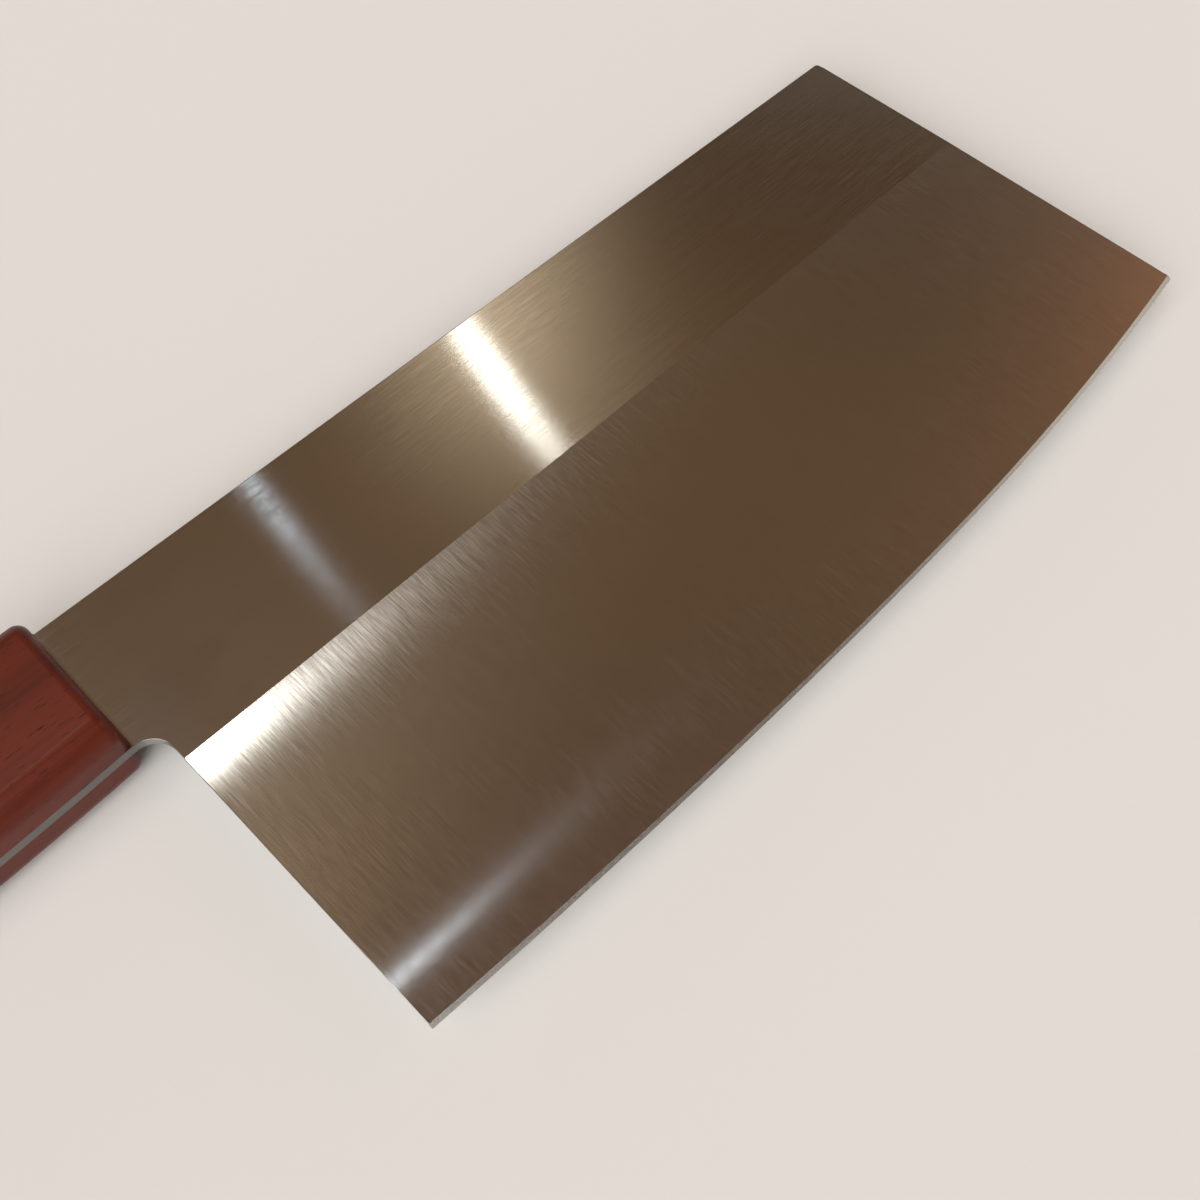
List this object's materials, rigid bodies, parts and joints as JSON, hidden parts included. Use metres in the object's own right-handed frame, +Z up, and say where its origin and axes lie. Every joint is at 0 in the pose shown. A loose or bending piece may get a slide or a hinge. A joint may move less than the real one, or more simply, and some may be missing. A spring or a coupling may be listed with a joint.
{
  "type": "chinese cleaver",
  "caption": "Broad kitchen cleaver: thin rectangular steel blade with a gently curved edge, full tang and a riveted wooden handle, lying on its side.",
  "frame": {"origin": "centre of the bounding box's bottom face: the knife lies on its left side, with the handle's left face on z = 0", "axes": "+X from the handle to the blade's front end, +Y from the cutting edge to the spine, +Z up, out of the blade's right side"},
  "size_m": [0.3356, 0.106, 0.0192],
  "materials": {
    "blade_steel": "brushed stainless steel: flats brushed along the blade, bevels ground across it",
    "handle_wood": "red-brown laminated hardwood with fine open pores, satin",
    "rivet_metal": "rivet heads sanded flush, fine scratches"
  },
  "bodies": {
    "root": {"blade": "blade_steel", "handle_scale_right": "handle_wood", "handle_scale_left": "handle_wood", "rivet_front_sleeve": "rivet_metal", "rivet_front_post": "rivet_metal", "rivet_middle_sleeve": "rivet_metal", "rivet_middle_post": "rivet_metal", "rivet_rear_sleeve": "rivet_metal", "rivet_rear_post": "rivet_metal"}
  },
  "joints": []
}
